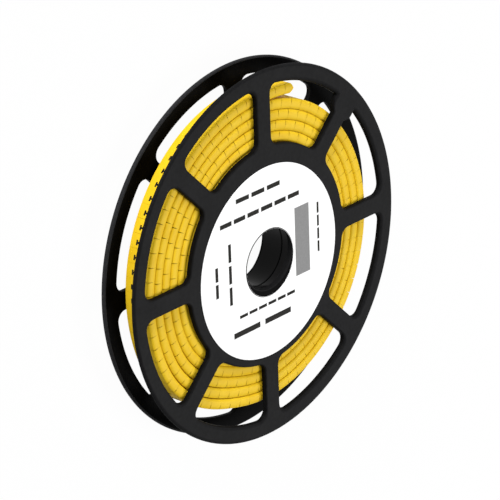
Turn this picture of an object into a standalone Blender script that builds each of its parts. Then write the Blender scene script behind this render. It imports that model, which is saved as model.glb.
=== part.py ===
"""Cable marker reel, lying on its back flange.

Two black moulded halves make a flat reel with eight windows in each flange. Between the flanges lies one
long strip of small yellow cable markers, wound on the drum, and a round paper label covers the hub in front.
Metres, +Z up, origin in the middle of the underside. The reel's axis is Z and its front looks up.
"""
import math

import bmesh
import bpy
from mathutils import Vector

# Flanges
RIM_RADIUS = 0.0523
RIM_BAND = 0.0045              # from the windows to the rim
FLANGE_THICKNESS = 0.0016
EDGE_CHAMFER = 0.0005          # on every edge of a flange
RIM_BEVEL = 0.00095            # across the front flange's rim, on its inner side
RIM_BEVEL_DEPTH = 0.0008       # down the wall
WINDOW_COUNT = 8
WINDOW_MARGIN = 0.0007         # from the drum's outside to the windows
WINDOW_CORNER_RADIUS = 0.0027
SPOKE_WIDTH = 0.0054

# Round pad on the front flange, at the outer end of one spoke
PAD_SPOKE = 3                  # counted from +X, anticlockwise
PAD_RADIUS = 0.005
PAD_INSET = 0.0002             # the pad stops this far inside the rim
PAD_STEP = 0.00005             # its faces lie this far inside the flange's

# Hub
BORE_RADIUS = 0.0094           # through the flanges
BORE_STEP = 0.00015            # the sleeve is this much wider than the lips at both ends
SLEEVE_WALL = 0.0016
SEAM_DEPTH = 0.0039            # from the front face to where the two sleeves meet
DRUM_RADIUS = 0.0302
DRUM_WALL = 0.0016
SPIGOT_WALL = 0.0012           # ring of the front half that enters the drum
SPIGOT_LENGTH = 0.003

# Marker strip
STRIP_WIDTH = 0.0077           # along the reel's axis
STRIP_THICKNESS = 0.00272
CROWN_CHAMFER = 0.0006         # across the thickness, on both edges of the front side
CROWN_DEPTH = 0.00025          # down the width
BACK_CLEARANCE = 0.00075       # between the strip and the back flange
TURN_GAP = 0.0002              # between one turn and the next
DRUM_CLEARANCE = 0.0007        # between the drum and the first turn
MARKER_LENGTH = 0.004          # along the strip
NOTCH_WIDTH = 0.00025          # between one marker and the next
NOTCH_SHARE = 0.9              # the strip's size in a notch, as a share of its section
WHOLE_TURNS = 4                # below the last, unfinished one
FREE_END_ANGLE = 163.5         # degrees, where the strip ends on the outside
CLIMB_ANGLE = 297.5            # degrees, where each turn starts to step over the one below
CLIMB_SPAN = 48.6              # degrees that the step takes
END_LIFT = 0.001               # the last marker stands off the turn below

# Label
LABEL_RADIUS = 0.02715
LABEL_HOLE_RADIUS = 0.00965
LABEL_THICKNESS = 0.0002
LABEL_SHIFT = 0.00165          # it is stuck on off centre, towards +X

FIT_GAP = 0.0003               # between pieces that rest on or fit into each other
JOIN_DEPTH = 0.5               # share of a flange that a wall reaches into before it is joined to it
WELD = 0.00001

RIM_STEPS = 72
HUB_STEPS = 40
PAD_STEPS = 24
CORNER_STEPS = 3
OUTER_ARC_STEPS = 4
INNER_ARC_STEPS = 2
PATH_SAMPLES = 6000            # along the strip, when its length is measured

REEL_WIDTH = 2 * FLANGE_THICKNESS + BACK_CLEARANCE + STRIP_WIDTH + FIT_GAP
SPOKE_STEP = 2 * math.pi / WINDOW_COUNT
WINDOW_INNER_RADIUS = DRUM_RADIUS + WINDOW_MARGIN
WINDOW_OUTER_RADIUS = RIM_RADIUS - RIM_BAND
FRONT_FACE = REEL_WIDTH
FRONT_INNER_FACE = REEL_WIDTH - FLANGE_THICKNESS
SEAM_HEIGHT = REEL_WIDTH - SEAM_DEPTH
SLEEVE_BORE = BORE_RADIUS + BORE_STEP
SLEEVE_RADIUS = SLEEVE_BORE + SLEEVE_WALL
DRUM_INNER_RADIUS = DRUM_RADIUS - DRUM_WALL
TURN_PITCH = STRIP_THICKNESS + TURN_GAP
FIRST_TURN_RADIUS = DRUM_RADIUS + DRUM_CLEARANCE + STRIP_THICKNESS / 2
STRIP_HEIGHT = FRONT_INNER_FACE - FIT_GAP - STRIP_WIDTH / 2


def clear_scene():
    """Empty the scene of what a new file holds."""
    for item in list(bpy.data.objects):
        bpy.data.objects.remove(item, do_unlink=True)


def new_collection(name):
    """Make a collection in the scene."""
    collection = bpy.data.collections.new(name)
    bpy.context.scene.collection.children.link(collection)
    return collection


def new_material(name, colour, roughness):
    """Make a plain plastic or paper."""
    material = bpy.data.materials.new(name)
    material.use_nodes = True
    shader = material.node_tree.nodes["Principled BSDF"]
    shader.inputs["Base Color"].default_value = (*colour, 1.0)
    shader.inputs["Roughness"].default_value = roughness
    shader.inputs["Metallic"].default_value = 0.0
    return material


def polar(radius, angle):
    """Give the flat point at a radius and an angle in radians."""
    return radius * math.cos(angle), radius * math.sin(angle)


def arc(centre, radius, start, end, steps):
    """Give the points of an arc, both ends among them."""
    points = []
    for i in range(steps + 1):
        x, y = polar(radius, start + (end - start) * i / steps)
        points.append((centre[0] + x, centre[1] + y))
    return points


def circle(radius, steps, centre=(0.0, 0.0)):
    """Give the points of a circle, anticlockwise."""
    return arc(centre, radius, 0.0, 2 * math.pi, steps)[:-1]


def mirrored(points):
    """Mirror points on the middle line of the window beside the first spoke, in reverse order."""
    result = []
    for x, y in reversed(points):
        result.append(polar(math.hypot(x, y), SPOKE_STEP - math.atan2(y, x)))
    return result


def window_outline(number):
    """Give the outline of a window: a ring sector between two spokes of even width, with round corners."""
    edge = SPOKE_WIDTH / 2 + WINDOW_CORNER_RADIUS
    outer_reach = WINDOW_OUTER_RADIUS - WINDOW_CORNER_RADIUS
    inner_reach = WINDOW_INNER_RADIUS + WINDOW_CORNER_RADIUS
    outer_turn = math.asin(edge / outer_reach)
    inner_turn = math.asin(edge / inner_reach)
    down = -math.pi / 2
    outer_corner = arc(polar(outer_reach, outer_turn), WINDOW_CORNER_RADIUS, down, outer_turn, CORNER_STEPS)
    inner_corner = arc(polar(inner_reach, inner_turn), WINDOW_CORNER_RADIUS, inner_turn - math.pi, down,
                       CORNER_STEPS)
    outer_arc = arc((0, 0), WINDOW_OUTER_RADIUS, outer_turn, SPOKE_STEP - outer_turn, OUTER_ARC_STEPS)
    inner_arc = arc((0, 0), WINDOW_INNER_RADIUS, SPOKE_STEP - inner_turn, inner_turn, INNER_ARC_STEPS)
    outline = (outer_corner + outer_arc[1:-1] + mirrored(outer_corner)
               + mirrored(inner_corner) + inner_arc[1:-1] + inner_corner)
    turn = number * SPOKE_STEP
    return [polar(math.hypot(x, y), math.atan2(y, x) + turn) for x, y in outline]


def slab(name, outlines, low, high, chamfer):
    """Make a flat plate between two heights, with holes and chamfered edges, as a mesh object."""
    curve = bpy.data.curves.new(name + "_outline", "CURVE")
    curve.dimensions = "2D"
    curve.fill_mode = "BOTH"
    curve.extrude = (high - low) / 2 - chamfer
    curve.bevel_depth = chamfer
    curve.bevel_resolution = 0
    curve.offset = -chamfer
    for outline in outlines:
        spline = curve.splines.new("POLY")
        spline.points.add(len(outline) - 1)
        for point, (x, y) in zip(spline.points, outline):
            point.co = (x, y, 0.0, 1.0)
        spline.use_cyclic_u = True
    guide = bpy.data.objects.new(name + "_outline", curve)
    guide.location.z = (low + high) / 2
    bpy.context.scene.collection.objects.link(guide)
    return curve_to_mesh(guide, name)


def curve_to_mesh(guide, name):
    """Turn a curve object into a welded mesh object at the same place, and remove the curve."""
    bpy.context.view_layer.update()
    graph = bpy.context.evaluated_depsgraph_get()
    mesh = bpy.data.meshes.new_from_object(guide.evaluated_get(graph))
    mesh.name = name
    mesh.transform(guide.matrix_world)
    bpy.data.objects.remove(guide, do_unlink=True)
    work = bmesh.new()
    work.from_mesh(mesh)
    bmesh.ops.remove_doubles(work, verts=work.verts, dist=WELD)
    bmesh.ops.recalc_face_normals(work, faces=work.faces)
    work.to_mesh(mesh)
    work.free()
    mesh.materials.clear()
    return bpy.data.objects.new(name, mesh)


def turned(name, section, steps):
    """Turn a closed section of radius and height round Z. It runs down its outer side."""
    mesh = bpy.data.meshes.new(name)
    vertices = [(x, 0.0, z) for x, z in section]
    edges = [(i, (i + 1) % len(section)) for i in range(len(section))]
    mesh.from_pydata(vertices, edges, [])
    item = bpy.data.objects.new(name, mesh)
    screw = item.modifiers.new("turned", "SCREW")
    screw.axis = "Z"
    screw.steps = steps
    screw.render_steps = steps
    screw.use_merge_vertices = True
    screw.merge_threshold = WELD
    return item


def ring(name, inner_radius, outer_radius, low, high):
    """Make a plain ring wall of the hub."""
    section = [(outer_radius, high), (outer_radius, low), (inner_radius, low), (inner_radius, high)]
    return turned(name, section, HUB_STEPS)


def combine(item, other, operation, guides):
    """Unite a piece of the same moulding with its carrier, or cut a form out of it."""
    guides.objects.link(other)
    other.hide_render = True
    other.display_type = "WIRE"
    change = item.modifiers.new(other.name, "BOOLEAN")
    change.operation = operation
    change.solver = "EXACT"
    change.object = other


def finish(item, collection, material):
    """Put a piece in the model with its material, welded corners and smooth round walls."""
    weld = item.modifiers.new("welded", "WELD")
    weld.merge_threshold = WELD
    collection.objects.link(item)
    item.data.materials.append(material)
    item.data.shade_smooth()
    item.data.set_sharp_from_angle(angle=math.radians(30))


def flange(name, low):
    """Make a flange: a disc with eight windows and the bore."""
    outlines = [circle(RIM_RADIUS, RIM_STEPS), circle(BORE_RADIUS, HUB_STEPS)]
    for number in range(WINDOW_COUNT):
        outlines.append(window_outline(number))
    return slab(name, outlines, low, low + FLANGE_THICKNESS, EDGE_CHAMFER)


def pad():
    """Make the round pad at the outer end of a spoke, all but flush with the front flange's faces."""
    reach = RIM_RADIUS - PAD_RADIUS - PAD_INSET
    centre = polar(reach, PAD_SPOKE * SPOKE_STEP)
    low = FRONT_INNER_FACE + PAD_STEP
    return slab("pad", [circle(PAD_RADIUS, PAD_STEPS, centre)], low, FRONT_FACE - PAD_STEP, EDGE_CHAMFER)


def rim_cutter():
    """Make the form that bevels the inner side of the front flange's rim, so that the strip slips past it."""
    slope = RIM_BEVEL_DEPTH / RIM_BEVEL
    low = FRONT_INNER_FACE
    reach = 2 * RIM_BEVEL
    section = [(RIM_RADIUS + RIM_BEVEL, low + RIM_BEVEL_DEPTH + slope * RIM_BEVEL),
               (RIM_RADIUS + RIM_BEVEL, low - slope * reach),
               (RIM_RADIUS - RIM_BEVEL - reach, low - slope * reach)]
    return turned("rim_cutter", section, RIM_STEPS)


def reel_front_half(collection, guides, material):
    """Make the front flange with its pad, its part of the sleeve and the spigot that enters the drum."""
    item = flange("reel_front_half", FRONT_INNER_FACE)
    root = FRONT_INNER_FACE + FLANGE_THICKNESS * JOIN_DEPTH
    spigot_radius = DRUM_INNER_RADIUS - FIT_GAP
    spigot_end = FRONT_INNER_FACE - SPIGOT_LENGTH
    front_sleeve = ring("front_sleeve", SLEEVE_BORE, SLEEVE_RADIUS, SEAM_HEIGHT + FIT_GAP, root)
    combine(item, front_sleeve, "UNION", guides)
    spigot = ring("spigot", spigot_radius - SPIGOT_WALL, spigot_radius, spigot_end, root)
    combine(item, spigot, "UNION", guides)
    combine(item, pad(), "UNION", guides)
    combine(item, rim_cutter(), "DIFFERENCE", guides)
    finish(item, collection, material)


def reel_back_half(collection, guides, material):
    """Make the back flange with the drum and its part of the sleeve."""
    item = flange("reel_back_half", 0.0)
    root = FLANGE_THICKNESS * (1 - JOIN_DEPTH)
    back_sleeve = ring("back_sleeve", SLEEVE_BORE, SLEEVE_RADIUS, root, SEAM_HEIGHT)
    combine(item, back_sleeve, "UNION", guides)
    drum = ring("drum", DRUM_INNER_RADIUS, DRUM_RADIUS, root, FRONT_INNER_FACE - FIT_GAP)
    combine(item, drum, "UNION", guides)
    finish(item, collection, material)


def smooth_step(value):
    """Rise from 0 to 1 with level ends."""
    value = min(max(value, 0.0), 1.0)
    return value * value * (3 - 2 * value)


def strip_point(wound):
    """Give the strip's middle line, a number of degrees in from its free end."""
    first_climb = (CLIMB_ANGLE - FREE_END_ANGLE) % 360
    climbed = 0.0
    for turn in range(WHOLE_TURNS):
        climbed += smooth_step((wound - first_climb - 360 * turn) / CLIMB_SPAN)
    radius = FIRST_TURN_RADIUS + (WHOLE_TURNS - climbed) * TURN_PITCH
    outer_radius = FIRST_TURN_RADIUS + WHOLE_TURNS * TURN_PITCH
    end_span = math.degrees(MARKER_LENGTH / outer_radius)
    radius += END_LIFT * max(0.0, 1 - wound / end_span) ** 2
    return Vector((*polar(radius, math.radians(FREE_END_ANGLE + wound)), STRIP_HEIGHT))


def strip_stations():
    """Give the points along the winding and the share of the full section there: three at every notch."""
    last = (CLIMB_ANGLE - FREE_END_ANGLE) % 360 + 360 * WHOLE_TURNS
    before = strip_point(0.0)
    stations = [(before, 1.0)]
    travelled = 0.0
    markers = 1
    for i in range(1, PATH_SAMPLES + 1):
        point = strip_point(last * i / PATH_SAMPLES)
        step = point - before
        travelled += step.length
        before = point
        if travelled >= MARKER_LENGTH * markers:
            half_notch = step.normalized() * NOTCH_WIDTH / 2
            stations += [(point - half_notch, 1.0), (point, NOTCH_SHARE), (point + half_notch, 1.0)]
            markers += 1
    stations.append((before, 1.0))
    return stations


def strip_outline():
    """Give the strip's section: thickness along X, width along Y, with a crowned front and a flat back."""
    half = STRIP_THICKNESS / 2
    side = STRIP_WIDTH / 2
    flat = half - CROWN_CHAMFER
    fall = side - CROWN_DEPTH
    return [(-half, -side), (half, -side), (half, fall), (flat, side), (-flat, side), (-half, fall)]


def marker_strip(collection, material):
    """Make the wound strip: its section swept along the winding, drawn in at the notches between markers."""
    section = bpy.data.curves.new("strip_section", "CURVE")
    section.dimensions = "2D"
    outline = strip_outline()
    spline = section.splines.new("POLY")
    spline.points.add(len(outline) - 1)
    for point, (x, y) in zip(spline.points, outline):
        point.co = (x, y, 0.0, 1.0)
    spline.use_cyclic_u = True
    section_guide = bpy.data.objects.new("strip_section", section)

    path = bpy.data.curves.new("marker_strip_path", "CURVE")
    path.dimensions = "3D"
    path.twist_mode = "Z_UP"
    path.bevel_mode = "OBJECT"
    path.bevel_object = section_guide
    path.use_fill_caps = True
    stations = strip_stations()
    spline = path.splines.new("POLY")
    spline.points.add(len(stations) - 1)
    for point, (station, share) in zip(spline.points, stations):
        point.co = (*station, 1.0)
        point.radius = share
    guide = bpy.data.objects.new("marker_strip_path", path)
    bpy.context.scene.collection.objects.link(guide)
    item = curve_to_mesh(guide, "marker_strip")
    bpy.data.objects.remove(section_guide, do_unlink=True)
    finish(item, collection, material)


def label(collection, material):
    """Make the round paper label with its hole."""
    centre = (LABEL_SHIFT, 0.0)
    outlines = [circle(LABEL_RADIUS, RIM_STEPS, centre), circle(LABEL_HOLE_RADIUS, HUB_STEPS, centre)]
    low = FRONT_FACE + FIT_GAP
    item = slab("label", outlines, low, low + LABEL_THICKNESS, 0.0)
    finish(item, collection, material)


def main():
    """Build the reel."""
    clear_scene()
    model = new_collection("cable_marker_reel")
    guides = new_collection("joined_pieces")
    black = new_material("black_plastic", (0.016, 0.016, 0.018), 0.45)
    yellow = new_material("yellow_plastic", (0.84, 0.61, 0.035), 0.5)
    paper = new_material("label_paper", (0.86, 0.86, 0.86), 0.6)
    reel_back_half(model, guides, black)
    reel_front_half(model, guides, black)
    marker_strip(model, yellow)
    label(model, paper)


main()
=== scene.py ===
"""Looks of the cable marker reel: its finished surfaces, the camera, the light and the floor."""
import math
from bisect import bisect_right
from collections import namedtuple

import bpy
from mathutils import Matrix, Vector
from mathutils.geometry import tessellate_polygon


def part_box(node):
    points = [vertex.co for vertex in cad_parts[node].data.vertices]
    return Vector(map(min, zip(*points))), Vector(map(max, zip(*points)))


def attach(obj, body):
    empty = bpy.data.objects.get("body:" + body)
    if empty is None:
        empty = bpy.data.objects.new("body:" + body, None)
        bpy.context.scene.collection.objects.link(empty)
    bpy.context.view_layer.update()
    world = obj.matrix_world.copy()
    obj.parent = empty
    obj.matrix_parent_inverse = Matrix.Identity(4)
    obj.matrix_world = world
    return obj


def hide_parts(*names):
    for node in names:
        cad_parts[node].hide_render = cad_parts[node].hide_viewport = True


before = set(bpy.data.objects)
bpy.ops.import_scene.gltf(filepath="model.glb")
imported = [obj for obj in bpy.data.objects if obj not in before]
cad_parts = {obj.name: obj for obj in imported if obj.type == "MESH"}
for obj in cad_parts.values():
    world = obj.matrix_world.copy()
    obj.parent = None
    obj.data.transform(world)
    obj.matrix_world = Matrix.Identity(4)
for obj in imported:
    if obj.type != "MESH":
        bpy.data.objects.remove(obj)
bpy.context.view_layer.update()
scene = bpy.context.scene


def solid_box(node):
    """Lowest and highest corner of a solid, to the micrometre."""
    return [[round(value, 6) for value in corner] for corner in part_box(node)]


# Sizes measured on the solids, in metres
RIM_RADIUS, _, REEL_WIDTH = solid_box("reel_front_half")[1]
(_, _, STRIP_BOTTOM), (_, _, STRIP_TOP) = solid_box("marker_strip")
(LABEL_LEFT, _, _), (LABEL_RIGHT, _, _) = solid_box("label")
STRIP_WIDTH = STRIP_TOP - STRIP_BOTTOM
STRIP_HEIGHT = (STRIP_TOP + STRIP_BOTTOM) / 2
LABEL_RADIUS = (LABEL_RIGHT - LABEL_LEFT) / 2
LABEL_SHIFT = (LABEL_RIGHT + LABEL_LEFT) / 2

# Flanges, as in the source
RIM_BAND = 0.0045
FLANGE_THICKNESS = 0.0016
RIM_BEVEL = (0.00095, 0.0008)           # across the face and down the wall, as all edges below
WINDOW_COUNT = 8
WINDOW_MARGIN = 0.0007
WINDOW_CORNER_RADIUS = 0.0027
SPOKE_WIDTH = 0.0054
PAD_SPOKE = 3
PAD_RADIUS = 0.005
PAD_INSET = 0.0002

# Hub, as in the source
BORE_RADIUS = 0.0094
BORE_STEP = 0.00015
SLEEVE_WALL = 0.0016
SEAM_DEPTH = 0.0039
DRUM_RADIUS = 0.0302
DRUM_WALL = 0.0016
SPIGOT_WALL = 0.0012
SPIGOT_LENGTH = 0.003
FIT_GAP = 0.0003

# Winding, as in the source; angles are in degrees
STRIP_THICKNESS = 0.00272
TURN_GAP = 0.0002
DRUM_CLEARANCE = 0.0007
WHOLE_TURNS = 4
FREE_END_ANGLE = 163.5
CLIMB_ANGLE = 297.5
CLIMB_SPAN = 48.6

FRONT_INNER_FACE = REEL_WIDTH - FLANGE_THICKNESS
SPOKE_STEP = 2 * math.pi / WINDOW_COUNT
WINDOW_INNER_RADIUS = DRUM_RADIUS + WINDOW_MARGIN
WINDOW_OUTER_RADIUS = RIM_RADIUS - RIM_BAND
SLEEVE_BORE = BORE_RADIUS + BORE_STEP
SLEEVE_RADIUS = SLEEVE_BORE + SLEEVE_WALL
SEAM_HEIGHT = REEL_WIDTH - SEAM_DEPTH
TURN_PITCH = STRIP_THICKNESS + TURN_GAP
FIRST_TURN_RADIUS = DRUM_RADIUS + DRUM_CLEARANCE + STRIP_THICKNESS / 2

# Finished edges of the flanges
RIM_OUTSIDE = (0.0010, 0.00075)
RIM_INSIDE_BACK = (0.0005, 0.0005)
WINDOW_OUTSIDE = (0.0006, 0.0005)
WINDOW_UNDER_RIM = (0.0015, 0.0013)     # the same edge along the front flange's rim
WINDOW_INSIDE = (0.0002, 0.0002)
WINDOW_RIM_INSET = 0.0004               # rim's side of the front windows, in from the source's
BORE_OUTSIDE = (0.0004, 0.0004)
BORE_LEAD_IN = (0.0015, 0.0013)         # at the back end of the bore
HUB_RING_RADIUS = 0.01145               # ring round the bore in the darkest black, painted shade, mostly under the label
SLEEVE_SINK = 0.00035                   # the back sleeve starts this deep in its flange, clear of the lead-in
BEVEL_EASE = 0.00008
TUBE_EASE = 0.00015

# Number of steps in the round stretches of an outline or an edge
RIM_STEPS = 256
HUB_STEPS = 128
LABEL_STEPS = 192
LABEL_HOLE_STEPS = 96
WINDOW_CORNER_STEPS = 8
OUTER_ARC_STEPS = 20
INNER_ARC_STEPS = 12
PAD_STEPS = 14
EDGE_STEPS = 5
GRAINED_STEPS = 3                       # of the edge under the rim, which the face's grain runs over; the rest of the wall has the darker black, painted shade
LEAST_MITRE = 0.35                      # keeps a sharp corner's mitre short
HALVINGS = 40                           # in the search for a crossing

# Finishes of the black plastic, with darker copies as painted shade and a lighter one as painted light: name,
# darkest and lightest shade, specular level and roughness
BLACK_FINISHES = [("black_grained", 0.0070, 0.0092, 0.025, 0.53),    # outer faces, front half's rim and bore
                  ("black_shaded", 0.0034, 0.0050, 0.020, 0.50),     # painted shade, a darker copy of the grained black: front half's inner face, windows, drum
                  ("black_polished_shaded", 0.0013, 0.0026, 0.085, 0.20),   # sleeves: glossier, and darker as painted shade
                  ("black_deep_shade", 0.0009, 0.0016, 0.008, 0.45),       # painted shade, the darkest copy of the black: back half's inner face, hub ring
                  ("black_lit", 0.0170, 0.0220, 0.025, 0.50)]     # painted light, a lighter copy of the grained black: back half's rim
GRAINED, SHADED, POLISHED_SHADED, DEEP_SHADE, LIT = range(len(BLACK_FINISHES))


class Shell:
    """Collects points with their normals, and the faces between them, for one mesh."""

    def __init__(self):
        self.points = []
        self.normals = []
        self.faces = []
        self.materials = []

    def add(self, point, normal):
        self.points.append(Vector(point))
        self.normals.append(Vector(normal).normalized())
        return len(self.points) - 1

    def add_level(self, points, height):
        """Add points of a level face that looks up."""
        return [self.add((*point, height), (0.0, 0.0, 1.0)) for point in points]

    def face(self, corners, material=0):
        """Add a face, turned to the side that its points' normals name."""
        side = sum((self.normals[i] for i in corners), Vector())
        spokes = [self.points[i] - self.points[corners[0]] for i in corners[1:]]
        area = sum((a.cross(b) for a, b in zip(spokes, spokes[1:])), Vector())
        self.faces.append(corners if area.dot(side) >= 0 else corners[::-1])
        self.materials.append(material)

    def bridge(self, first, second, material=0):
        """Fill the band between two closed rows of points."""
        for i in range(len(first)):
            self.face((first[i - 1], first[i], second[i], second[i - 1]), material)

    def fill(self, rows, material=0):
        """Fill a level face between its outlines."""
        loops = [[Vector((*self.points[i].xy, 0.0)) for i in row] for row in rows]
        every = [i for row in rows for i in row]
        for triangle in tessellate_polygon(loops):
            self.face([every[i] for i in triangle], material)

    def build(self, name, materials):
        mesh = bpy.data.meshes.new(name)
        mesh.from_pydata(self.points, [], self.faces)
        for material in materials:
            mesh.materials.append(material)
        for polygon, slot in zip(mesh.polygons, self.materials):
            polygon.material_index = slot
        mesh.shade_smooth()
        mesh.normals_split_custom_set_from_vertices([tuple(normal) for normal in self.normals])
        item = bpy.data.objects.new(name, mesh)
        scene.collection.objects.link(item)
        return item


def polar(radius, angle):
    return Vector((radius * math.cos(angle), radius * math.sin(angle)))


def smooth_step(value):
    """Rise from 0 to 1 with level ends."""
    value = min(max(value, 0.0), 1.0)
    return value * value * (3 - 2 * value)


def arc(centre, radius, start, end, steps, inward):
    """Points of an arc, each with the direction into the plastic: 1 away from the centre, -1 towards it."""
    result = []
    for i in range(steps + 1):
        direction = polar(1.0, start + (end - start) * i / steps)
        result.append((Vector(centre) + direction * radius, direction * inward))
    return result


def circle(radius, steps, inward, centre=(0.0, 0.0)):
    return arc(centre, radius, 0.0, 2 * math.pi, steps, inward)[:-1]


def mirrored(points):
    """Mirror points and directions on the middle line of the first window, in reverse order."""
    result = []
    for pair in reversed(points):
        result.append(tuple(polar(math.hypot(x, y), SPOKE_STEP - math.atan2(y, x)) for x, y in pair))
    return result


def window_outline(number, outer_radius):
    """Outline of a window, anticlockwise, as the source draws it but with more points."""
    radius = WINDOW_CORNER_RADIUS
    edge = SPOKE_WIDTH / 2 + radius
    outer_reach = outer_radius - radius
    inner_reach = WINDOW_INNER_RADIUS + radius
    outer_turn = math.asin(edge / outer_reach)
    inner_turn = math.asin(edge / inner_reach)
    down = -math.pi / 2
    outer_corner = arc(polar(outer_reach, outer_turn), radius, down, outer_turn, WINDOW_CORNER_STEPS, 1)
    inner_corner = arc(polar(inner_reach, inner_turn), radius, inner_turn - math.pi, down,
                       WINDOW_CORNER_STEPS, 1)
    outer_arc = arc((0, 0), outer_radius, outer_turn, SPOKE_STEP - outer_turn, OUTER_ARC_STEPS, 1)
    inner_arc = arc((0, 0), WINDOW_INNER_RADIUS, SPOKE_STEP - inner_turn, inner_turn, INNER_ARC_STEPS, -1)
    outline = (outer_corner + outer_arc[1:-1] + mirrored(outer_corner)
               + mirrored(inner_corner) + inner_arc[1:-1] + inner_corner)
    turn = Matrix.Rotation(number * SPOKE_STEP, 2)
    return [(turn @ point, turn @ direction) for point, direction in outline]


def mitre(first, second):
    """Direction that moves a corner as far in as both of its sides."""
    return (first + second) / max(LEAST_MITRE, 1 + first.dot(second))


def cut_by_pad(outline):
    """Let the round pad reach into a window's outline."""
    centre = polar(RIM_RADIUS - PAD_RADIUS - PAD_INSET, PAD_SPOKE * SPOKE_STEP)
    inside = [(point - centre).length < PAD_RADIUS for point, _ in outline]
    if not any(inside):
        return outline

    def crossing(outer, inner):
        """Angle on the pad's edge between a point outside the pad and one inside it."""
        for _ in range(HALVINGS):
            middle = (outer + inner) / 2
            if (middle - centre).length < PAD_RADIUS:
                inner = middle
            else:
                outer = middle
        return math.atan2(inner.y - centre.y, inner.x - centre.x)

    first = next(i for i in range(len(outline)) if inside[i] and not inside[i - 1])
    covered = sum(inside)
    turned = outline[first:] + outline[:first]
    before, after = turned[-1], turned[covered]
    start = crossing(before[0], turned[0][0])
    end = crossing(after[0], turned[covered - 1][0])
    span = (end - start + math.pi) % (2 * math.pi) - math.pi
    bend = arc(centre, PAD_RADIUS, start, start + span, PAD_STEPS, -1)
    bend[0] = (bend[0][0], mitre(before[1], bend[0][1]))
    bend[-1] = (bend[-1][0], mitre(after[1], bend[-1][1]))
    return bend + turned[covered:]


def rounded_edge(across, down, steps=EDGE_STEPS):
    """Edge of a plate: steps from its face to its wall, as inset, depth and the normal's two parts."""
    result = []
    for i in range(steps + 1):
        angle = math.pi / 2 * i / steps
        result.append((across * (1 - math.sin(angle)), down * (1 - math.cos(angle)),
                       math.sin(angle) / across, math.cos(angle) / down))
    return result


def bevelled_edge(across, down):
    """The same for a straight bevel with eased ends."""
    share = BEVEL_EASE / math.hypot(across, down)
    return [(across + BEVEL_EASE, 0.0, 0.0, 1.0),
            (across * (1 - share), down * share, down, across),
            (across * share, down * (1 - share), down, across),
            (0.0, down + BEVEL_EASE, 1.0, 0.0)]


def rim_share(point):
    """Share that the rim's own edge has at a point of a window's outline: all of it along the rim."""
    start = WINDOW_OUTER_RADIUS - WINDOW_RIM_INSET - WINDOW_CORNER_RADIUS
    return smooth_step((point.length - start) / WINDOW_CORNER_RADIUS)


def rounded_wall(shell, outline, low, high, edges, material=0, rim_edge=None):
    """Wall of a plate along an outline, with its lower and upper edge. Gives its lowest and highest rows.

    A rim edge takes over from the upper edge on the rim's side of the outline, and is partly grained."""
    low_edge, high_edge = edges
    profile = [(low, 1, (step, step)) for step in low_edge]
    profile += [(high, -1, pair) for pair in reversed(list(zip(high_edge, rim_edge or high_edge)))]
    rows = []
    for level, upward, (plain, wide) in profile:
        row = []
        for point, direction in outline:
            share = rim_share(point) if rim_edge else 0.0
            inset, depth, out, up = ((1 - share) * a + share * b for a, b in zip(plain, wide))
            place = point + direction * inset
            flat = -direction.normalized() * out
            row.append(shell.add((*place, level + upward * depth), (*flat, -upward * up)))
        rows.append(row)
    plain_bands = len(rows) - 1 - (GRAINED_STEPS if rim_edge else 0)
    for band, (first, second) in enumerate(zip(rows, rows[1:])):
        shell.bridge(first, second, material if band < plain_bands else GRAINED)
    return rows[0], rows[-1]


def tube(shell, inner, outer, low, high, material):
    """Plain tube with eased edges, whose bands each keep crisp corners."""
    ease = TUBE_EASE
    section = [(inner + ease, low), (outer - ease, low), (outer, low + ease), (outer, high - ease),
               (outer - ease, high), (inner + ease, high), (inner, high - ease), (inner, low + ease)]
    for (r0, z0), (r1, z1) in zip(section, section[1:] + section[:1]):
        rows = []
        for radius, height in ((r0, z0), (r1, z1)):
            directions = [direction for _, direction in circle(radius, HUB_STEPS, 1)]
            rows.append([shell.add((*(direction * radius), height), (*(direction * (z1 - z0)), r0 - r1))
                         for direction in directions])
        shell.bridge(*rows, material)


def flange(shell, low, edges, finishes, windows, rim_edge=None, hub_ring=None):
    """Plate with its bore and windows. Edges and finishes go by the place that they are at.

    Each pair of edges is the lower and the upper one. The hub ring is a radius on the upper face."""
    high = low + FLANGE_THICKNESS
    rim = rounded_wall(shell, circle(RIM_RADIUS, RIM_STEPS, -1), low, high, edges["rim"], finishes["rim"])
    bore = rounded_wall(shell, circle(BORE_RADIUS, HUB_STEPS, 1), low, high, edges["bore"], finishes["bore"])
    if hub_ring:
        ring = shell.add_level([point for point, _ in circle(hub_ring, HUB_STEPS, 1)], high)
        # painted shade: the ring round the bore gets the darkest black
        shell.bridge(bore[1], ring, DEEP_SHADE)
        bore = bore[0], ring
    walls = [rim, bore]
    for outline in windows:
        # window walls get the darker black, painted shade
        walls.append(rounded_wall(shell, outline, low, high, edges["window"], SHADED, rim_edge))
    shell.fill([lowest for lowest, _ in walls], finishes["low"])
    shell.fill([highest for _, highest in walls], finishes["high"])


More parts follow.
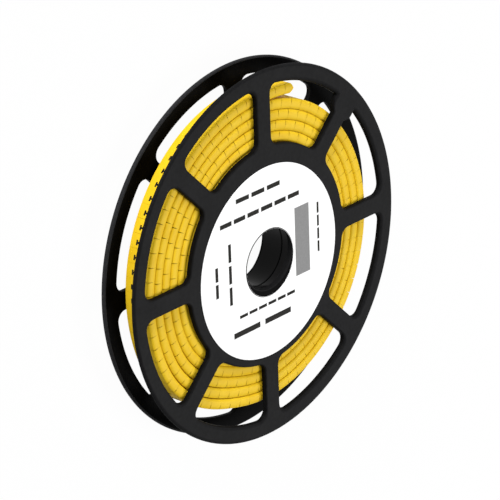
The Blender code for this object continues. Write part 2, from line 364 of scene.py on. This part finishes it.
def front_moulding(materials):
    """Front flange with its end of the sleeve and the spigot. Both start in the middle of the flange."""
    shell = Shell()
    edges = {"rim": (bevelled_edge(*RIM_BEVEL), rounded_edge(*RIM_OUTSIDE)),
             "bore": (rounded_edge(*WINDOW_INSIDE), rounded_edge(*BORE_OUTSIDE)),
             "window": (rounded_edge(*WINDOW_INSIDE), rounded_edge(*WINDOW_OUTSIDE))}
    # the front half's inner face is darker, painted shade
    finishes = {"rim": GRAINED, "bore": GRAINED, "low": SHADED, "high": GRAINED}
    windows = [cut_by_pad(window_outline(number, WINDOW_OUTER_RADIUS - WINDOW_RIM_INSET))
               for number in range(WINDOW_COUNT)]
    flange(shell, FRONT_INNER_FACE, edges, finishes, windows, rounded_edge(*WINDOW_UNDER_RIM),
           HUB_RING_RADIUS)
    middle = FRONT_INNER_FACE + FLANGE_THICKNESS / 2
    # the sleeve is glossier, and its darker colour is painted shade
    tube(shell, SLEEVE_BORE, SLEEVE_RADIUS, SEAM_HEIGHT + FIT_GAP, middle, POLISHED_SHADED)
    spigot = DRUM_RADIUS - DRUM_WALL - FIT_GAP
    tube(shell, spigot - SPIGOT_WALL, spigot, FRONT_INNER_FACE - SPIGOT_LENGTH, middle, SHADED)
    return shell.build("front_moulding", materials)


def back_moulding(materials):
    """Back flange with the long end of the sleeve and the drum."""
    shell = Shell()
    edges = {"rim": (rounded_edge(*RIM_OUTSIDE), rounded_edge(*RIM_INSIDE_BACK)),
             "bore": (bevelled_edge(*BORE_LEAD_IN), rounded_edge(*WINDOW_INSIDE)),
             "window": (rounded_edge(*WINDOW_OUTSIDE), rounded_edge(*WINDOW_INSIDE))}
    # painted light on the back half's rim; painted shade on its bore and its inner face
    finishes = {"rim": LIT, "bore": SHADED, "low": GRAINED, "high": DEEP_SHADE}
    windows = [window_outline(number, WINDOW_OUTER_RADIUS) for number in range(WINDOW_COUNT)]
    flange(shell, 0.0, edges, finishes, windows)
    tube(shell, SLEEVE_BORE, SLEEVE_RADIUS, FLANGE_THICKNESS - SLEEVE_SINK, SEAM_HEIGHT, POLISHED_SHADED)
    middle = FLANGE_THICKNESS / 2
    tube(shell, DRUM_RADIUS - DRUM_WALL, DRUM_RADIUS, middle, FRONT_INNER_FACE - FIT_GAP, SHADED)
    return shell.build("back_moulding", materials)


# Free end, which stands off the turn below; places along the strip are degrees in from the source's free end
END_LIFT = 0.0012
END_SPAN = 14.0
END_BEND = 1.3                 # power of the rise towards the tip
END_EXTRA = 1.2                # the rounded tip reaches this far past the source's free end
TIP_STEPS = 8
TIP_FLAT = 0.05                # share of the thickness that is left at the very end

# The outer turns sag outwards a little where they start to step down: how far, turn by turn
SAG_LIFTS = (0.0006, 0.00035, 0.00015)
SAG_MIDDLE = 150.0
SAG_REACH = 38.0

# The strip's start, which goes on under the hub disc, thinned against the drum
TUCKED_SPAN = 377.5
TUCKED_GAP = 0.00008

# Section of the strip, with a crowned front side
TURN_GROOVE = 0.00008          # left between two turns
TURN_THICKNESS = TURN_PITCH - TURN_GROOVE
CROWN_LIFT = 0.00025           # the middle of the crown over the source's flat one
CROWN_DEPTH = 0.0005           # from there down to the straight sides
CROWN_ACROSS = 8 / 3           # powers of the crown's curve, across the thickness and down the width
CROWN_DOWN = 5 / 3
CROWN_STEPS = 20
BACK_EASE = 0.00015
BACK_STEPS = 3

# Slits between the markers, widest and deepest on the front and the outer side
SLIT_WIDTH = 0.00026
SLIT_DEPTH = 0.0014
SLIT_NARROWING = 0.4           # half of what a slit loses from the front side to the back
SLIT_START = 0.32              # share of the thickness that stays whole
SLIT_LEAST = 0.05              # share of it that a slit still opens there
SLIT_PROFILE = ((-1.0, 0.0), (-0.6, 1.0), (0.6, 1.0), (1.0, 0.0))      # shares of half its width and depth
MARKER_STEPS = 4

FIRST_CLIMB = CLIMB_ANGLE - FREE_END_ANGLE
WHOLE_WOUND = FIRST_CLIMB + 360 * WHOLE_TURNS
LAST_WOUND = WHOLE_WOUND + TUCKED_SPAN
# Places along the strip, and the number of markers up to there, as counted in the windows
MARKER_COUNTS = [(0.0, 0.39), (FIRST_CLIMB, 27.33), (447.6, 84.0), (809.6, 145.0), (1171.8, 201.0),
                 (1535.4, 253.0), (WHOLE_WOUND, 258.6), (LAST_WOUND, 307.0)]
PATH_STEPS = 200
DIRECTION_STEP = 0.05


def strip_radius(wound):
    """Radius of the strip's middle line, a number of degrees in from its free end."""
    climbed = sum(smooth_step((wound - FIRST_CLIMB - 360 * turn) / CLIMB_SPAN)
                  for turn in range(WHOLE_TURNS + 1))
    sag = sum(smooth_step(1 - abs(wound - SAG_MIDDLE - 360 * turn) / SAG_REACH) * lift
              for turn, lift in enumerate(SAG_LIFTS))
    radius = FIRST_TURN_RADIUS + (WHOLE_TURNS - climbed) * TURN_PITCH
    return radius + sag + END_LIFT * max(0.0, 1 - wound / END_SPAN) ** END_BEND


def strip_point(wound):
    return polar(strip_radius(wound), math.radians(FREE_END_ANGLE + wound))


def strip_frame(wound):
    """Point of the middle line, the direction along it and the one square to it, away from the drum."""
    along = (strip_point(wound + DIRECTION_STEP) - strip_point(wound - DIRECTION_STEP)).normalized()
    return strip_point(wound), along, Vector((along.y, -along.x))


def slit_places():
    """Places of the slits between the markers, at an even distance between two counts."""
    places = []
    for (start, first), (end, last) in zip(MARKER_COUNTS, MARKER_COUNTS[1:]):
        step = (end - start) / PATH_STEPS
        lengths = [0.0]
        for i in range(PATH_STEPS):
            lengths.append(lengths[-1] + math.radians(step) * strip_radius(start + (i + 0.5) * step))
        for number in range(math.floor(first) + 1, math.floor(last) + 1):
            length = lengths[-1] * (number - first) / (last - first)
            i = min(bisect_right(lengths, length), PATH_STEPS) - 1
            part = (length - lengths[i]) / (lengths[i + 1] - lengths[i])
            places.append(start + (i + part) * step)
    return places


# Place along the strip, side within a slit, share of the slit's depth, and share of the strip's thickness
Station = namedtuple("Station", "wound side depth share", defaults=(0.0, 0.0, 1.0))


def strip_stations(slits):
    """Stations along the winding: a rounded tip, then for each marker its slit and its length."""
    tip_span = math.degrees(STRIP_THICKNESS / 2 / strip_radius(0.0))
    stations = []
    for i in range(TIP_STEPS + 1):
        angle = math.pi / 2 * i / TIP_STEPS
        wound = tip_span * (1 - math.cos(angle)) - END_EXTRA
        stations.append(Station(wound, share=max(math.sin(angle), TIP_FLAT)))
    for start, end in zip(slits, slits[1:] + [LAST_WOUND]):
        stations += [Station(start, side, depth) for side, depth in SLIT_PROFILE]
        stations += [Station(start + (end - start) * i / MARKER_STEPS) for i in range(1, MARKER_STEPS)]
    stations.append(Station(LAST_WOUND))
    return stations


def strip_section():
    """Section of the strip, with the normal at each point: thickness outwards, width towards the front."""
    half = TURN_THICKNESS / 2
    side = STRIP_WIDTH / 2
    shoulder = side + CROWN_LIFT - CROWN_DEPTH
    result = []
    for i in range(CROWN_STEPS + 1):
        angle = math.pi * i / CROWN_STEPS
        sign = math.copysign(1.0, math.cos(angle))
        across = abs(math.cos(angle)) ** (2 / CROWN_ACROSS)
        rise = math.sin(angle) ** (2 / CROWN_DOWN)
        result.append((half * across * sign, shoulder + CROWN_DEPTH * rise,
                       CROWN_ACROSS * across ** (CROWN_ACROSS - 1) * sign / half,
                       CROWN_DOWN * rise ** (CROWN_DOWN - 1) / CROWN_DEPTH))
    for middle, start in ((BACK_EASE - half, math.pi), (half - BACK_EASE, 1.5 * math.pi)):
        for point, direction in arc((middle, BACK_EASE - side), BACK_EASE, start, start + math.pi / 2,
                                    BACK_STEPS, 1):
            result.append((*point, *direction))
    return result


def slit_opening(u, v):
    """Share of its full size that a slit has at a point of the section."""
    reach = max(SLIT_LEAST, u / TURN_THICKNESS + 0.5 - SLIT_START) / (1 - SLIT_START)
    return reach * (1 - SLIT_NARROWING * (1 - v / (STRIP_WIDTH / 2)))


def marker_winding(slits, materials):
    """The wound strip with a slit between every two markers, whose floors have the second material."""
    shell = Shell()
    section = strip_section()
    stations = strip_stations(slits)
    rows = []
    for station in stations:
        point, along, out = strip_frame(station.wound)
        tip = along * -math.sqrt(1 - station.share ** 2)
        lowest = DRUM_RADIUS + TUCKED_GAP - point.length
        row = []
        for u, v, out_part, up_part in section:
            opening = slit_opening(u, v)
            outwards = max(lowest, u * station.share - SLIT_DEPTH * opening * station.depth)
            spot = point + out * outwards + along * (SLIT_WIDTH / 2 * opening * station.side)
            normal = out * out_part + tip * abs(out_part)
            row.append(shell.add((*spot, STRIP_HEIGHT + v), (*normal, up_part)))
        rows.append(row)
    for i in range(len(rows) - 1):
        on_floor = min(stations[i].depth, stations[i + 1].depth) > 0
        shell.bridge(rows[i], rows[i + 1], 1 if on_floor else 0)
    shell.face(rows[0])
    shell.face(rows[-1])
    return shell.build("marker_winding", materials)


# Print on the markers
DIGIT_PLACE = 0.6              # share of a marker from its slit to its digit
DIGIT_HEIGHT = 0.0031
DIGIT_STROKE = 0.00055
DIGIT_BASE = 0.0014
DIGIT_FLAG = (1.2, 2.4, 1.4)   # drop of the flag's other corners below the head, in strokes
DIGIT_DROP = 0.0003            # from the middle of the strip's width towards the back
PRINTED_SPAN = 361.0           # the outermost turn
INK_LIFT = 0.00002


def digit_strokes():
    """The stem, foot and flag of a plain digit one: along the strip, and up its width."""
    foot = -DIGIT_HEIGHT / 2 - DIGIT_DROP
    head = DIGIT_HEIGHT / 2 - DIGIT_DROP
    top = foot + DIGIT_STROKE
    edge = DIGIT_STROKE / 2
    base = DIGIT_BASE / 2
    near, below, above = (head - drop * DIGIT_STROKE for drop in DIGIT_FLAG)
    return [((-base, foot), (base, foot), (base, top), (-base, top)),
            ((-edge, top), (edge, top), (edge, head), (-edge, head)),
            ((-edge, head), (-edge, near), (-base, below), (-base, above))]


def marker_print(slits, material):
    """A plain digit one on the outer side of every marker of the outermost turn, foot towards the back."""
    shell = Shell()
    places = [place for place in slits if place < PRINTED_SPAN]
    for start, end in zip(places, places[1:]):
        point, along, out = strip_frame(start + (end - start) * DIGIT_PLACE)
        surface = point + out * (TURN_THICKNESS / 2 + INK_LIFT)
        for stroke in digit_strokes():
            corners = [(surface + along * x, STRIP_HEIGHT + z) for x, z in stroke]
            shell.face([shell.add((*spot, height), (*out, 0.0)) for spot, height in corners])
    return shell.build("marker_print", [material])


# Label, and the plain marks that stand for its print
LABEL_BOTTOM = REEL_WIDTH + 0.0001
LABEL_THICKNESS = 0.00012
LABEL_EDGE = (0.00004, 0.00004)
LABEL_EDGE_STEPS = 2
LABEL_HOLE_RADIUS = 0.00965
LABEL_HOLE_PLACE = (0.0019, 0.0001)
LABEL_HOLE_LINE = 0.0002       # half the greatest width of the dark line on the hole's edge, in print ink as painted shade of the paper's cut edge
LABEL_LINE_SIDE = 235.0        # degrees at which it is widest; it fades out on the other side
LABEL_LINE_REST = 0.1          # share of that half width that is left there
PAPER, PRINT, FIELD = range(3)
# Rows of dashes along Y and along X: place across, start, end, height of the row, and number of dashes
PRINT_ROWS_Y = [(-0.0195, -0.0125, 0.0060, 0.0013, 3), (-0.0142, -0.0190, 0.0135, 0.0013, 6),
                (0.0136, -0.0125, 0.0105, 0.0009, 6), (0.0183, -0.0150, 0.0100, 0.0016, 2)]
PRINT_ROWS_X = [(-0.0156, -0.0085, 0.0100, 0.0011, 3), (-0.0209, -0.0035, 0.0060, 0.0011, 2),
                (0.0201, -0.0090, 0.0060, 0.0008, 4)]
PRINT_FIELD = ((-0.0102, 0.0106), (0.0096, 0.0164))
DASH_SHARE = 0.84              # of the distance from one dash to the next


def rectangle(low, high):
    return [(low[0], low[1]), (high[0], low[1]), (high[0], high[1]), (low[0], high[1])]


def print_marks():
    """Plain dashes and one plain field, each as its material and its corners."""
    marks = []
    for rows, along_y in ((PRINT_ROWS_Y, True), (PRINT_ROWS_X, False)):
        for across, start, end, height, count in rows:
            step = (end - start) / count
            for i in range(count):
                low = (across - height / 2, start + i * step)
                high = (across + height / 2, start + (i + DASH_SHARE) * step)
                if not along_y:
                    low, high = low[::-1], high[::-1]
                marks.append((PRINT, rectangle(low, high)))
    marks.append((FIELD, rectangle(*PRINT_FIELD)))
    return marks


def label_sheet(materials):
    """Round paper label with its hole and its print, stuck on off centre."""
    shell = Shell()
    top = LABEL_BOTTOM + LABEL_THICKNESS
    edge = rounded_edge(*LABEL_EDGE, LABEL_EDGE_STEPS)
    line_middle = Vector(LABEL_HOLE_PLACE) - polar(LABEL_HOLE_LINE, math.radians(LABEL_LINE_SIDE))
    line_radius = LABEL_HOLE_RADIUS - LABEL_HOLE_LINE * (1 + LABEL_LINE_REST)
    rim_line = circle(LABEL_RADIUS, LABEL_STEPS, -1, (LABEL_SHIFT, 0.0))
    hole_line = circle(line_radius, LABEL_HOLE_STEPS, 1, line_middle)
    outside = rounded_wall(shell, rim_line, LABEL_BOTTOM, top, (edge, edge))
    hole = rounded_wall(shell, hole_line, LABEL_BOTTOM, top, (edge, edge))
    shell.fill([outside[0], hole[0]])
    line_end = circle(LABEL_HOLE_RADIUS, LABEL_HOLE_STEPS, 1, LABEL_HOLE_PLACE)
    line_row = shell.add_level([point for point, _ in line_end], top)
    # painted shade: the print ink along the hole's edge stands in for the shaded cut edge of the paper
    shell.bridge(hole[1], line_row, PRINT)
    mark_rows = []
    for kind, corners in print_marks():
        row = shell.add_level(corners, top)
        shell.face(row, kind)
        mark_rows.append(row)
    shell.fill([outside[1], line_row] + mark_rows, PAPER)
    return shell.build("label_sheet", materials)


class Finish:
    """A material whose colour, roughness or surface can vary a little from place to place."""

    def __init__(self, name, specular):
        self.material = bpy.data.materials.new(name)
        self.material.use_nodes = True
        self.nodes = self.material.node_tree.nodes
        self.links = self.material.node_tree.links
        self.inputs = self.nodes["Principled BSDF"].inputs
        self.inputs["Specular IOR Level"].default_value = specular

    def noise(self, scale, detail=2.0):
        where = self.nodes.new("ShaderNodeTexCoord")
        texture = self.nodes.new("ShaderNodeTexNoise")
        texture.inputs["Scale"].default_value = scale
        texture.inputs["Detail"].default_value = detail
        self.links.new(where.outputs["Object"], texture.inputs["Vector"])
        return texture.outputs["Fac"]

    def shade(self, pattern, dark, light, start=0.0, end=1.0):
        """Colour between two shades, which a pattern passes between a start and an end value."""
        ramp = self.nodes.new("ShaderNodeValToRGB")
        for element, position, colour in zip(ramp.color_ramp.elements, (start, end), (dark, light)):
            element.position = position
            element.color = (*colour, 1)
        self.links.new(pattern, ramp.inputs["Fac"])
        self.links.new(ramp.outputs["Color"], self.inputs["Base Color"])

    def roughen(self, pattern, low, high):
        rough = self.nodes.new("ShaderNodeMapRange")
        rough.inputs["To Min"].default_value = low
        rough.inputs["To Max"].default_value = high
        self.links.new(pattern, rough.inputs["Value"])
        self.links.new(rough.outputs["Result"], self.inputs["Roughness"])

    def emboss(self, pattern, strength, distance):
        bump = self.nodes.new("ShaderNodeBump")
        bump.inputs["Strength"].default_value = strength
        bump.inputs["Distance"].default_value = distance
        self.links.new(pattern, bump.inputs["Height"])
        self.links.new(bump.outputs["Normal"], self.inputs["Normal"])


BLACK_BLUE = 1.05              # blue of the black plastic, over its red and green
ROUGHNESS_SPREAD = 0.05


def black_plastic(name, dark, light, specular, roughness):
    """Black moulded plastic with a fine grain, a touch bluish."""
    finish = Finish(name, specular)
    grain = finish.noise(scale=900.0)
    darkest, lightest = ((level, level, level * BLACK_BLUE) for level in (dark, light))
    finish.shade(grain, darkest, lightest, start=0.35, end=0.65)
    finish.roughen(finish.noise(scale=140.0), roughness - ROUGHNESS_SPREAD, roughness + ROUGHNESS_SPREAD)
    finish.emboss(grain, strength=0.15, distance=0.00004)
    return finish.material


def yellow_plastic():
    finish = Finish("yellow_plastic", specular=0.07)
    finish.shade(finish.noise(scale=180.0, detail=3.0), dark=(0.755, 0.480, 0.012),
                 light=(0.812, 0.546, 0.020), start=0.3, end=0.7)
    finish.roughen(finish.noise(scale=320.0), low=0.4, high=0.55)
    return finish.material


def speckled(name, scale, dark, light, roughness, specular, detail=2.0):
    """Even surface whose colour has fine speckles."""
    finish = Finish(name, specular)
    finish.shade(finish.noise(scale, detail), dark, light)
    finish.inputs["Roughness"].default_value = roughness
    return finish.material


def slit_shade():
    """The webs at the foot of the slits, which little light reaches."""
    return speckled("slit_shade", scale=900.0, dark=(0.10, 0.055, 0.003), light=(0.16, 0.09, 0.006),
                    roughness=0.8, specular=0.0)


def print_ink():
    return speckled("print_ink", scale=2500.0, dark=(0.006, 0.0055, 0.004), light=(0.016, 0.015, 0.013),
                    roughness=0.6, specular=0.06)


def grey_field():
    return speckled("grey_field", scale=2500.0, dark=(0.17, 0.17, 0.17), light=(0.25, 0.25, 0.25),
                    roughness=0.6, specular=0.2)


def label_paper():
    return speckled("label_paper", scale=700.0, dark=(0.92, 0.92, 0.92), light=(0.95, 0.95, 0.95),
                    roughness=0.6, specular=0.3, detail=3.0)


# Camera as fitted to the photograph; angles are in degrees
CAMERA_AZIMUTH = -29.684
CAMERA_ELEVATION = 38.19
CAMERA_ROLL = 107.422
CAMERA_CENTRE_DEPTH = 0.000735                              # of its centre on the axis, under the front face
CAMERA_PLACE = (-0.0044583, 0.001335075, 0.85666875)        # from there, along its own right, up and back
CAMERA_LENS = 231.45
CAMERA_SENSOR = 36.0


def add_camera():
    """Place the camera as it stood for the photograph."""
    azimuth, elevation, roll = map(math.radians, (CAMERA_AZIMUTH, CAMERA_ELEVATION, CAMERA_ROLL))
    back = Vector((math.sin(azimuth) * math.cos(elevation), -math.cos(azimuth) * math.cos(elevation),
                   math.sin(elevation)))
    level = Vector((math.cos(azimuth), math.sin(azimuth), 0.0))
    upright = back.cross(level)
    right = math.cos(roll) * level + math.sin(roll) * upright
    up = -math.sin(roll) * level + math.cos(roll) * upright
    turn = Matrix((right, up, back)).transposed()
    data = bpy.data.cameras.new("camera")
    data.lens = CAMERA_LENS
    data.sensor_width = CAMERA_SENSOR
    item = bpy.data.objects.new("camera", data)
    centre = Vector((0.0, 0.0, REEL_WIDTH - CAMERA_CENTRE_DEPTH))
    item.matrix_world = Matrix.Translation(centre + turn @ Vector(CAMERA_PLACE)) @ turn.to_4x4()
    scene.collection.objects.link(item)
    scene.camera = item


def add_lamp(name, place, size, energy):
    """Round lamp that faces the foot of the reel's axis."""
    data = bpy.data.lights.new(name, "AREA")
    data.shape = "DISK"
    data.size = size
    data.energy = energy
    item = bpy.data.objects.new(name, data)
    item.location = place
    item.rotation_euler = (-Vector(place)).to_track_quat("-Z", "Y").to_euler()
    scene.collection.objects.link(item)


def seen_directly(nodes, links):
    """Whether a ray sees its background: from the camera, by reflection or through glass."""
    path = nodes.new("ShaderNodeLightPath")
    total = path.outputs["Is Camera Ray"]
    for kind in ("Is Glossy Ray", "Is Transmission Ray"):
        either = nodes.new("ShaderNodeMath")
        either.operation = "MAXIMUM"
        links.new(total, either.inputs[0])
        links.new(path.outputs[kind], either.inputs[1])
        total = either.outputs["Value"]
    return total


def mixed(nodes, links, share, plain, seen):
    """Mix two shaders: the second one by its share."""
    mix = nodes.new("ShaderNodeMixShader")
    links.new(share, mix.inputs["Fac"])
    links.new(plain, mix.inputs[1])
    links.new(seen, mix.inputs[2])
    return mix.outputs["Shader"]


WORLD_LIGHT = 0.3
FLOOR_GLOW = 0.97
FLOOR_HEIGHT = -0.0002
FLOOR_REACH = 1.5


def add_world():
    """White where it is seen, dimmer as a light."""
    world = bpy.data.worlds.new("world")
    world.use_nodes = True
    nodes = world.node_tree.nodes
    links = world.node_tree.links
    seen = nodes["Background"]
    light = nodes.new("ShaderNodeBackground")
    for background, strength in ((seen, 1.0), (light, WORLD_LIGHT)):
        background.inputs["Color"].default_value = (1, 1, 1, 1)
        background.inputs["Strength"].default_value = strength
    both = mixed(nodes, links, seen_directly(nodes, links), light.outputs["Background"],
                 seen.outputs["Background"])
    links.new(both, nodes["World Output"].inputs["Surface"])
    scene.world = world


def floor_white():
    """Pale floor that glows nearly white where it is seen, so that the object's shadow stays faint."""
    floor = Finish("floor_white", 0.0)
    floor.inputs["Base Color"].default_value = (0.8, 0.8, 0.8, 1)
    floor.inputs["Roughness"].default_value = 0.9
    glow = floor.nodes.new("ShaderNodeEmission")
    glow.inputs["Strength"].default_value = 1.0
    share = floor.nodes.new("ShaderNodeMath")
    share.operation = "MULTIPLY"
    share.inputs[1].default_value = FLOOR_GLOW
    floor.links.new(seen_directly(floor.nodes, floor.links), share.inputs[0])
    both = mixed(floor.nodes, floor.links, share.outputs["Value"],
                 floor.nodes["Principled BSDF"].outputs["BSDF"], glow.outputs["Emission"])
    floor.links.new(both, floor.nodes["Material Output"].inputs["Surface"])
    return floor.material


def add_floor():
    mesh = bpy.data.meshes.new("floor")
    corners = rectangle((-FLOOR_REACH, -FLOOR_REACH), (FLOOR_REACH, FLOOR_REACH))
    mesh.from_pydata([(*corner, FLOOR_HEIGHT) for corner in corners], [], [(0, 1, 2, 3)])
    mesh.materials.append(floor_white())
    item = bpy.data.objects.new("floor", mesh)
    scene.collection.objects.link(item)


def place(piece, slot, node=None):
    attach(piece, "root")
    if node:
        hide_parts(node)


black = [black_plastic(*finish) for finish in BLACK_FINISHES]
ink = print_ink()
slits = slit_places()
place(front_moulding(black), "reel", "reel_front_half")
place(back_moulding(black), "reel", "reel_back_half")
place(marker_winding(slits, [yellow_plastic(), slit_shade()]), "markers", "marker_strip")
place(marker_print(slits, ink), "markers")
place(label_sheet([label_paper(), ink, grey_field()]), "label", "label")

add_camera()
add_world()
add_floor()
add_lamp("key", place=(0.38, 0.66, 1.0), size=0.6, energy=13.0)
add_lamp("low", place=(-0.95, -0.55, 0.18), size=0.5, energy=17.0)
scene.view_settings.view_transform = "Standard"
